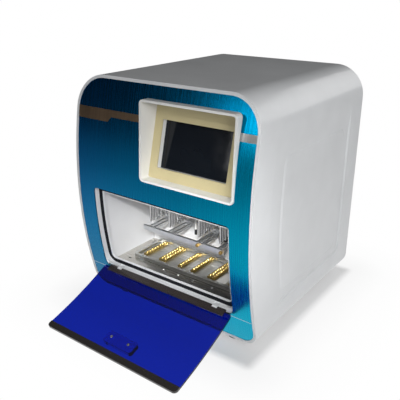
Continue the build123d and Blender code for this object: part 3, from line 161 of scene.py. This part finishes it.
def machined(name, colour, roughness, spread=0.05, **sockets):
    """Plain worked metal with faint clouding and a fine tooth."""
    colour_scale = 90.0
    gloss_scale = 220.0
    tooth_scale = 1500.0
    tooth_depth = 0.00001
    material = make_material(name, colour, roughness, Metallic=1.0, **sockets)
    mottle(material, noise(material, colour_scale), colour, spread)
    vary_roughness(material, noise(material, gloss_scale), roughness * 0.8, roughness * 1.25)
    bump(material, noise(material, tooth_scale), tooth_depth)
    return material


def along(material, axis, start, end, full=1.0):
    """Factor that runs from 0 at one coordinate of a piece to `full` at another."""
    tree = material.node_tree
    place = tree.nodes.new("ShaderNodeTexCoord")
    split = tree.nodes.new("ShaderNodeSeparateXYZ")
    spread = tree.nodes.new("ShaderNodeMapRange")
    spread.inputs["From Min"].default_value = start
    spread.inputs["From Max"].default_value = end
    spread.inputs["To Max"].default_value = full
    tree.links.new(place.outputs["Object"], split.inputs["Vector"])
    tree.links.new(split.outputs[axis], spread.inputs["Value"])
    return spread.outputs["Result"]


def operate(tree, kind, operation, *inputs):
    """Outputs of a new math node whose inputs are each linked to a socket or set to a value."""
    node = tree.nodes.new(kind)
    node.operation = operation
    for index, value in enumerate(inputs):
        if isinstance(value, bpy.types.NodeSocket):
            tree.links.new(value, node.inputs[index])
        else:
            node.inputs[index].default_value = value
    return node.outputs


def panel_material(name):
    """Brushed metallic blue of the front, with painted shade that deepens it towards the upper left and a
    painted reflection that pales it towards the lower right.
    """
    # The first blue is painted shade and the last blue is painted reflection; the middle blue is the
    # panel's own.
    painted_shade_blue, middle, pale = srgb(0, 96, 160), srgb(0, 118, 158), srgb(0, 166, 196)
    painted_light_share_across, painted_light_share_down, share_streak = 0.55, 0.45, 0.1
    groove_depth = 0.000006
    material = make_material(name, middle, 0.26, Metallic=1.0, Anisotropic=0.5)
    tree = material.node_tree
    # Painted shade and reflection: the colour runs from the darkest blue at the upper left to the palest
    # at the lower right, with faint streaks of the brushing.
    low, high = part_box("front_panel")
    painted_light_across = along(material, "X", low.x, high.x, painted_light_share_across)
    painted_light_down = along(material, "Z", high.z, low.z, painted_light_share_down)
    streaks = noise(material, 1.0, (640, 3, 5), 4.0)
    painted_light_total = operate(tree, "ShaderNodeMath", "ADD", painted_light_across, painted_light_down)["Value"]
    blend = operate(tree, "ShaderNodeMath", "MULTIPLY_ADD", streaks, share_streak, painted_light_total)["Value"]
    stops = ((0.12, painted_shade_blue), (0.6, middle), (1.0, pale))
    feed(material, ramp(material, blend, stops), "Base Color")
    vary_roughness(material, noise(material, 1.0, (700, 3, 6), 4.0), 0.22, 0.3)
    bump(material, noise(material, 1.0, (1500, 3, 8), 2.0), groove_depth)
    tangent = tree.nodes.new("ShaderNodeTangent")
    tangent.direction_type = "RADIAL"
    tangent.axis = "X"
    feed(material, tangent.outputs["Tangent"], "Tangent")
    return material


def floor_steel(name, colour, painted_shade_colour, roughness):
    """Brushed steel of the chamber floor, with painted shade that darkens it towards its right end."""
    painted_shade_start, painted_shade_end = 0.1, 0.75
    material = brushed(name, colour, roughness, (6, 500, 6))
    low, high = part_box("chamber_floor")
    # Painted shade: the steel's colour darkens into the second, darker colour towards the floor's right
    # end.
    painted_light_across = along(material, "X", low.x, high.x)
    stops = ((painted_shade_start, colour), (painted_shade_end, painted_shade_colour))
    feed(material, ramp(material, painted_light_across, stops), "Base Color")
    return material


def clear_blue(name, colour, roughness):
    """Tinted clear acrylic."""
    material = make_material(
        name, colour, roughness, Transmission_Weight=1.0, IOR=1.49, Specular_IOR_Level=0.1
    )
    vary_roughness(material, noise(material, 30.0), roughness * 0.6, roughness * 1.4)
    return material


def screen_material(name):
    """Switched-off glossy screen."""
    colour = srgb(18, 22, 28)
    material = make_material(name, colour, 0.08, IOR=1.5, Specular_IOR_Level=0.3)
    mottle(material, noise(material, 9.0), colour, 0.12)
    vary_roughness(material, noise(material, 40.0), 0.05, 0.11)
    return material


# The closing numbers of a moulded entry are its grain's depth, the grain's scale and the wander.
MATERIALS = {
    "shell_white": moulded("shell_white", srgb(226, 228, 230), 0.36, Coat_Weight=0.35, Coat_Roughness=0.1),
    "panel_blue": panel_material("panel_blue"),
    "seam_silver": brushed("seam_silver", srgb(200, 204, 206), 0.3, (3, 3, 900)),
    "trim_bronze": brushed("trim_bronze", srgb(128, 108, 88), 0.4, (420, 3, 5)),
    "trim_silver": brushed("trim_silver", srgb(176, 178, 178), 0.4, (420, 3, 5)),
    "frame_white": moulded("frame_white", srgb(224, 226, 228), 0.36),
    "seal_black": moulded("seal_black", srgb(12, 14, 20), 0.7, 0.00002, 300.0, Specular_IOR_Level=0.2),
    "door_blue": clear_blue("door_blue", (0.0, 0.012, 0.34), 0.02),
    "handle_blue": clear_blue("handle_blue", (0.25, 0.6, 0.9), 0.08),
    "door_trim_brown": moulded(
        "door_trim_brown", srgb(46, 40, 38), 0.22, Coat_Weight=0.5, Coat_Roughness=0.06
    ),
    "screw_steel": machined("screw_steel", srgb(205, 205, 205), 0.28),
    "hinge_white": moulded("hinge_white", srgb(205, 207, 209), 0.4),
    "bezel_white": moulded("bezel_white", srgb(228, 228, 226), 0.36, Coat_Weight=0.3, Coat_Roughness=0.1),
    "mask_cream": moulded("mask_cream", srgb(196, 184, 142), 0.45, 0.00001, 300.0, 0.05),
    "screen_black": screen_material("screen_black"),
    "module_black": moulded("module_black", srgb(38, 38, 40), 0.6),
    "chamber_white": moulded("chamber_white", srgb(232, 233, 235), 0.42),
    # The second colour of the chamber floor is painted shade towards its right end.
    "chamber_steel": floor_steel("chamber_steel", srgb(210, 207, 200), srgb(118, 116, 114), 0.24),
    "heater_gold": machined("heater_gold", srgb(202, 174, 104), 0.3, 0.1),
    "tray_aluminium": brushed("tray_aluminium", srgb(212, 212, 208), 0.34, (5, 420, 420)),
    "card_white": moulded("card_white", srgb(222, 222, 218), 0.6),
    "rod_steel": machined("rod_steel", srgb(198, 198, 198), 0.14),
    "head_aluminium": machined("head_aluminium", srgb(224, 226, 228), 0.42),
    "pin_white": moulded("pin_white", srgb(228, 228, 224), 0.4),
    "tip_black": moulded("tip_black", srgb(22, 24, 30), 0.5),
    "knob_brass": machined("knob_brass", srgb(206, 172, 104), 0.32),
    "carriage_aluminium": machined("carriage_aluminium", srgb(150, 152, 156), 0.4),
    "rail_steel": machined("rail_steel", srgb(184, 186, 190), 0.22),
    "motor_black": moulded("motor_black", srgb(40, 40, 42), 0.45),
    "drive_plate_steel": moulded("drive_plate_steel", srgb(150, 152, 156), 0.4),
    "supply_steel": brushed("supply_steel", srgb(170, 172, 174), 0.4, (5, 300, 300)),
    "board_green": moulded("board_green", srgb(28, 104, 62), 0.4),
    "base_grey": moulded("base_grey", srgb(62, 62, 66), 0.5),
    "foot_rubber": moulded("foot_rubber", srgb(36, 36, 38), 0.7, 0.00002, 300.0),
    "rear_grey": moulded("rear_grey", srgb(206, 208, 210), 0.42, 0.00001, 300.0),
    "fan_black": moulded("fan_black", srgb(34, 34, 36), 0.5),
    "grille_chrome": machined("grille_chrome", srgb(220, 220, 222), 0.12),
    "socket_black": moulded("socket_black", srgb(30, 30, 32), 0.45),
    "rocker_red": moulded("rocker_red", srgb(176, 30, 26), 0.3),
}


def dress(piece, slot):
    """Gives a piece the one material of a slot."""
    piece.data.materials.clear()
    piece.data.materials.append(MATERIALS[slot])


for entry in frame["record"]["subparts"]:
    dress(nodes[entry["node"]], entry["material_slot"])


# ---------------------------------------------------------------- softened edges of the CAD pieces
def soften(node, width):
    """Rounds a CAD piece's sharp edges with a bevel."""
    least_edge_angle = 40.0
    piece = nodes[node]
    bevel = piece.modifiers.new("softened", "BEVEL")
    bevel.width = width
    bevel.segments = 2
    bevel.limit_method = "ANGLE"
    bevel.angle_limit = math.radians(least_edge_angle)
    bevel.harden_normals = True


for node, width in (
    ("outer_shell", 0.0018),
    ("display_bezel", 0.0012),
    ("display_mask", 0.0006),
    ("opening_frame", 0.0005),
    ("door_edge_band", 0.0008),
    ("door_handle", 0.0015),
    ("deck_tray", 0.0005),
    ("sleeve_frame", 0.0005),
    ("power_supply", 0.001),
    ("lift_motors", 0.001),
    ("crosswise_motor", 0.001),
    ("rod_carrier", 0.0006),
    ("head_carriage", 0.0006),
):
    soften(node, width)


# ---------------------------------------------------------------- built pieces
def add_piece(name, vertices, faces, slot, body, replaced, smooth=True):
    """New mesh piece that rides on a body and stands for CAD nodes."""
    mesh = bpy.data.meshes.new(name)
    mesh.from_pydata(vertices, [], faces)
    mesh.update()
    piece = bpy.data.objects.new(name, mesh)
    bpy.context.scene.collection.objects.link(piece)
    if smooth:
        for face in mesh.polygons:
            face.use_smooth = True
    mesh.materials.append(MATERIALS[slot])
    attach(piece, body)
    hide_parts(*replaced)


def ring_surface(rings):
    """Faces that join rings of equal length in turn, with the two ends closed."""
    count = len(rings[0])
    vertices = [vertex for ring in rings for vertex in ring]
    faces = []
    for row in range(len(rings) - 1):
        for step in range(count):
            ahead = (step + 1) % count
            low = row * count
            faces.append((low + step, low + ahead, low + count + ahead, low + count + step))
    faces.append(tuple(reversed(range(count))))
    faces.append(tuple(range((len(rings) - 1) * count, len(rings) * count)))
    return vertices, faces


def turned_rings(matrix, profile, count=32):
    """Rings about the Z axis of a matrix; a profile entry is a height and a radius or a function
    of the angle that gives the radius."""
    rings = []
    for height, radius in profile:
        ring = []
        for step in range(count):
            angle = 2 * math.pi * step / count
            reach = radius(angle) if callable(radius) else radius
            ring.append(matrix @ Vector((reach * math.cos(angle), reach * math.sin(angle), height)))
        rings.append(ring)
    return rings


def facing(place, direction):
    """Matrix whose Z axis points in a direction from a place."""
    turn = Vector((0, 0, 1)).rotation_difference(Vector(direction)).to_matrix().to_4x4()
    return Matrix.Translation(place) @ turn


def hex_reach(painted_light_across):
    """Radius of a hexagon of a given half width, by angle."""
    return lambda angle: painted_light_across / math.cos((angle % (math.pi / 3)) - math.pi / 6)


def solid_faces(node):
    """Faces of each separate solid of a CAD node, in order of their first face."""
    digits = 6
    mesh = nodes[node].data
    parent = list(range(len(mesh.vertices)))

    def root(index):
        while parent[index] != index:
            index = parent[index]
        return index

    met = {}
    for vertex in mesh.vertices:
        place = tuple(round(value, digits) for value in vertex.co)
        parent[vertex.index] = met.setdefault(place, vertex.index)
    for edge in mesh.edges:
        parent[root(edge.vertices[0])] = root(edge.vertices[1])
    solids = {}
    for face in mesh.polygons:
        solids.setdefault(root(face.vertices[0]), []).append(face)
    return list(solids.values())


def heads(node, towards):
    """Middle, direction and radius of the flat face that each solid turns towards a direction."""
    least_cosine = 0.97
    aim = Vector(towards).normalized()
    mesh = nodes[node].data
    found = []
    for faces in solid_faces(node):
        facing_faces = [face for face in faces if face.normal.dot(aim) > least_cosine]
        area = sum(face.area for face in facing_faces)
        middle = sum((face.center * face.area for face in facing_faces), Vector()) / area
        normal = sum((face.normal * face.area for face in facing_faces), Vector()).normalized()
        corners = [mesh.vertices[index].co for face in facing_faces for index in face.vertices]
        found.append((middle, normal, max((corner - middle).length for corner in corners)))
    return found


def add_screws(name, node, towards, length, slot, body, profile_of, count):
    """Turned screws in the place of a CAD node's plain ones, each from the profile for its radius."""
    vertices = []
    faces = []
    for middle, normal, radius in heads(node, towards):
        matrix = facing(middle - normal * length, normal)
        screw_vertices, screw_faces = ring_surface(turned_rings(matrix, profile_of(radius), count))
        first = len(vertices)
        vertices += screw_vertices
        faces += [tuple(first + index for index in face) for face in screw_faces]
    add_piece(name, vertices, faces, slot, body, (node,), smooth=False)


def socket_screws(name, node, towards, height, slot, body):
    """Button-head screws with a hexagon socket; the numbers are shares of the height and radius."""

    def profile_of(radius):
        return (
            (0.0, radius),
            (height * 0.45, radius),
            (height * 0.85, radius * 0.86),
            (height, radius * 0.66),
            (height, hex_reach(radius * 0.42)),
            (height * 0.35, hex_reach(radius * 0.4)),
            (height * 0.3, radius * 0.1),
        )

    add_screws(name, node, towards, height, slot, body, profile_of, 24)


def knurled_screws(name, node, towards, length, slot, body):
    """Thumbscrews with a knurled rim and a shallow crown, in shares of the length and radius."""
    ridges = 30
    ridge_share = 0.035

    def profile_of(radius):
        def knurl(angle):
            return radius * (1 - ridge_share + ridge_share * math.cos(ridges * angle))

        return (
            (0.0, radius * 0.72),
            (length * 0.18, radius * 0.72),
            (length * 0.22, knurl),
            (length * 0.82, knurl),
            (length * 0.9, radius * 0.88),
            (length, radius * 0.6),
            (length, radius * 0.1),
        )

    add_screws(name, node, towards, length, slot, body, profile_of, 120)


def threaded_screw(name, node, axis, slot, body):
    """Lead screw with a trapezoidal thread of four starts, along one axis of the frame."""
    low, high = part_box(node)
    radius = 0.004
    depth = 0.0008
    lead = 0.008
    starts = 4
    flank = 1.8
    step = 0.0005
    length = (high - low)[axis]
    rows = round(length / step)
    foot = (low + high) / 2
    foot[axis] = low[axis]
    direction = Vector((0, 0, 0))
    direction[axis] = 1
    matrix = facing(foot, direction)

    def reach(height):
        def at(angle):
            wave = math.cos(starts * (angle - 2 * math.pi * height / lead))
            return radius - depth * (0.5 - 0.5 * max(-1.0, min(1.0, flank * wave)))

        return at

    heights = [length * row / rows for row in range(rows + 1)]
    profile = [(height, reach(height)) for height in heights]
    vertices, faces = ring_surface(turned_rings(matrix, profile, 24))
    add_piece(name, vertices, faces, slot, body, (node,))


socket_screws("deck_screw_heads", "deck_screws", (0, 0, 1), 0.0016, "screw_steel", "housing")
socket_screws("rim_screw_heads", "rim_screws", (0, 0, 1), 0.001, "screw_steel", "housing")
socket_screws("rear_screw_heads", "rear_screws", (0, 1, 0), 0.0018, "screw_steel", "housing")
knurled_screws("comb_knobs", "comb_thumbscrews", (0, -1, 0), 0.006, "knob_brass", "sleeve_head")
threaded_screw("rod_lift_thread", "rod_lead_screw", 2, "rail_steel", "rod_screw")
threaded_screw("sleeve_lift_thread", "sleeve_lead_screw", 2, "rail_steel", "sleeve_screw")
threaded_screw("crosswise_thread", "crosswise_lead_screw", 0, "rail_steel", "crosswise_screw")
socket_screws("handle_screw_heads", "door_handle_screws", (0, -0.26, 0.97), 0.0012, "screw_steel", "door")


# ---------------------------------------------------------------- floor, light and camera
def make_floor():
    """Wide pale floor that keeps the shadow and fades into the white surroundings."""
    size = 4.0
    fade_gaps = (0.0, 0.02, 0.1, 0.2)
    fade_shares = (0.3, 0.86, 0.97, 1.0)
    mirror_near, mirror_far = 0.5, 1.5
    mirror_near_share, mirror_far_share = 0.85, 0.15
    mesh = bpy.data.meshes.new("floor")
    corners = [(-size, -size, 0), (size, -size, 0), (size, size, 0), (-size, size, 0)]
    mesh.from_pydata(corners, [], [(0, 1, 2, 3)])
    floor = bpy.data.objects.new("floor", mesh)
    bpy.context.scene.collection.objects.link(floor)
    material = make_material("floor_pale", srgb(240, 240, 240), 0.9)
    tree = material.node_tree
    shader = tree.nodes["Principled BSDF"]
    shader.inputs["Specular IOR Level"].default_value = 0.0
    glow = tree.nodes.new("ShaderNodeEmission")
    rays = tree.nodes.new("ShaderNodeLightPath").outputs
    place = tree.nodes.new("ShaderNodeTexCoord").outputs["Object"]
    low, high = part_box("outer_shell")
    centre = (low + high) / 2
    half = (high - low) / 2

    # Seen directly, the glow grows with the gap beyond the shell's outline.
    apart = operate(tree, "ShaderNodeVectorMath", "SUBTRACT", place, (centre.x, centre.y, 0))["Vector"]
    either_way = operate(tree, "ShaderNodeVectorMath", "ABSOLUTE", apart)["Vector"]
    beyond = operate(tree, "ShaderNodeVectorMath", "SUBTRACT", either_way, (half.x, half.y, 0))["Vector"]
    outside = operate(tree, "ShaderNodeVectorMath", "MAXIMUM", beyond)["Vector"]
    gap = operate(tree, "ShaderNodeVectorMath", "LENGTH", outside)["Value"]
    stops = [(where, (share, share, share)) for where, share in zip(fade_gaps, fade_shares)]
    direct = ramp(material, gap, stops)

    # Mirrored in the object, it falls with the distance from the middle.
    distance = operate(tree, "ShaderNodeVectorMath", "LENGTH", place)["Value"]
    mirrored = tree.nodes.new("ShaderNodeMapRange")
    mirrored.inputs["From Min"].default_value = mirror_near
    mirrored.inputs["From Max"].default_value = mirror_far
    mirrored.inputs["To Min"].default_value = mirror_near_share
    mirrored.inputs["To Max"].default_value = mirror_far_share
    tree.links.new(distance, mirrored.inputs["Value"])

    kind = "ShaderNodeMath"
    through = rays["Is Transmission Ray"]
    seen = operate(tree, kind, "MAXIMUM", rays["Is Camera Ray"], through)["Value"]
    seen_share = operate(tree, kind, "MULTIPLY", seen, direct)["Value"]
    reflected = mirrored.outputs["Result"]
    mirrored_share = operate(tree, kind, "MULTIPLY", rays["Is Glossy Ray"], reflected)["Value"]
    share = operate(tree, kind, "MAXIMUM", seen_share, mirrored_share)["Value"]
    mix = tree.nodes.new("ShaderNodeMixShader")
    tree.links.new(share, mix.inputs["Fac"])
    tree.links.new(shader.outputs["BSDF"], mix.inputs[1])
    tree.links.new(glow.outputs["Emission"], mix.inputs[2])
    tree.links.new(mix.outputs["Shader"], tree.nodes["Material Output"].inputs["Surface"])
    mesh.materials.append(material)


def make_world():
    """White surroundings for the camera, and a soft room with two darker sides for the light."""
    horizon, zenith = 0.33, 0.2
    rise_from, rise_to = 0.05, 0.6
    dark_level = 0.1
    world = bpy.data.worlds.new("studio")
    bpy.context.scene.world = world
    world.use_nodes = True
    tree = world.node_tree
    room = tree.nodes["Background"]
    white = tree.nodes.new("ShaderNodeBackground")
    white.inputs["Color"].default_value = (1, 1, 1, 1)
    place = tree.nodes.new("ShaderNodeTexCoord")

    def dark_side(direction, edge, middle):
        """Share of the light that is left around one direction; edge and middle are cosines."""
        aim = Vector(direction).normalized()
        towards = operate(
            tree, "ShaderNodeVectorMath", "DOT_PRODUCT", place.outputs["Generated"], aim
        )["Value"]
        shade = tree.nodes.new("ShaderNodeMapRange")
        shade.interpolation_type = "SMOOTHSTEP"
        shade.inputs["From Min"].default_value = edge
        shade.inputs["From Max"].default_value = middle
        shade.inputs["To Min"].default_value = 1.0
        shade.inputs["To Max"].default_value = dark_level
        tree.links.new(towards, shade.inputs["Value"])
        return shade.outputs["Result"]

    split = tree.nodes.new("ShaderNodeSeparateXYZ")
    rise = tree.nodes.new("ShaderNodeMapRange")
    rise.interpolation_type = "SMOOTHSTEP"
    rise.inputs["From Min"].default_value = rise_from
    rise.inputs["From Max"].default_value = rise_to
    rise.inputs["To Min"].default_value = horizon
    rise.inputs["To Max"].default_value = zenith
    tree.links.new(place.outputs["Generated"], split.inputs["Vector"])
    tree.links.new(split.outputs["Z"], rise.inputs["Value"])
    left = dark_side((-0.80, -0.58, 0.15), 0.35, 0.92)
    rear = dark_side((-0.55, 0.82, 0.15), 0.8, 0.97)
    both_sides = operate(tree, "ShaderNodeMath", "MULTIPLY", left, rear)["Value"]
    strength = operate(tree, "ShaderNodeMath", "MULTIPLY", both_sides, rise.outputs["Result"])["Value"]
    rays = tree.nodes.new("ShaderNodeLightPath")
    mix = tree.nodes.new("ShaderNodeMixShader")
    tree.links.new(strength, room.inputs["Strength"])
    room.inputs["Color"].default_value = (1, 1, 1, 1)
    tree.links.new(rays.outputs["Is Camera Ray"], mix.inputs["Fac"])
    tree.links.new(room.outputs["Background"], mix.inputs[1])
    tree.links.new(white.outputs["Background"], mix.inputs[2])
    tree.links.new(mix.outputs["Shader"], tree.nodes["World Output"].inputs["Surface"])


def add_lamp(name, light, place, target, mirrored=True):
    """Lamp at a place, aimed at a target, with or without its mirror image on the object."""
    lamp = bpy.data.objects.new(name, light)
    lamp.location = place
    lamp.rotation_euler = (Vector(target) - Vector(place)).to_track_quat("-Z", "Y").to_euler()
    lamp.visible_glossy = mirrored
    bpy.context.scene.collection.objects.link(lamp)


def add_softbox(name, place, target, size, power, mirrored=True):
    """Rectangular area light."""
    light = bpy.data.lights.new(name, "AREA")
    light.shape = "RECTANGLE"
    light.size, light.size_y = size
    light.energy = power
    add_lamp(name, light, place, target, mirrored)


def add_spot(name, place, target, angle, power):
    """Spotlight with a soft edge."""
    light = bpy.data.lights.new(name, "SPOT")
    light.spot_size = math.radians(angle)
    light.spot_blend = 0.6
    light.shadow_soft_size = 0.12
    light.energy = power
    add_lamp(name, light, place, target)


def make_camera():
    """Camera at the photograph's distance and angle."""
    azimuth = math.radians(36.67)
    elevation = math.radians(21.6)
    place = (0.6589, -0.8899, 0.6738)
    focal_length = 49.45
    sensor_width = 36.0
    level = math.cos(elevation)
    ahead = Vector((-math.sin(azimuth) * level, math.cos(azimuth) * level, -math.sin(elevation)))
    camera_data = bpy.data.cameras.new("camera")
    camera_data.sensor_width = sensor_width
    camera_data.lens = focal_length
    camera = bpy.data.objects.new("camera", camera_data)
    camera.location = place
    camera.rotation_euler = ahead.to_track_quat("-Z", "Y").to_euler()
    bpy.context.scene.collection.objects.link(camera)
    bpy.context.scene.camera = camera


make_floor()
make_world()
add_softbox(
    "key_softbox",
    place=(1.9, -1.75, 0.95),
    target=(0, -0.13, 0.26),
    size=(0.7, 0.7),
    power=5,
    mirrored=False,
)
add_softbox(
    "right_softbox",
    place=(1.75, -1.3, 1.2),
    target=(0.2, 0.05, 0.3),
    size=(0.8, 0.8),
    power=19,
    mirrored=False,
)
add_softbox(
    "rear_softbox",
    place=(-1.7, 1.8, 0.24),
    target=(-0.2, 0.2, 0.24),
    size=(1.6, 0.4),
    power=18,
    mirrored=False,
)
add_softbox(
    "back_softbox",
    place=(0.75, 2.0, 1.15),
    target=(0.2, 0.1, 0.45),
    size=(1.4, 1.0),
    power=6,
)
add_softbox(
    "strip_softbox",
    place=(-1.05, -2.3, 0.8),
    target=(0.195, -0.13, 0.42),
    size=(0.3, 0.45),
    power=3,
)
add_spot(
    "chamber_spot",
    place=(1.35, -2.05, 1.6),
    target=(-0.03, -0.05, 0.13),
    angle=7.6,
    power=390,
)
make_camera()
bpy.context.scene.view_settings.view_transform = "Standard"
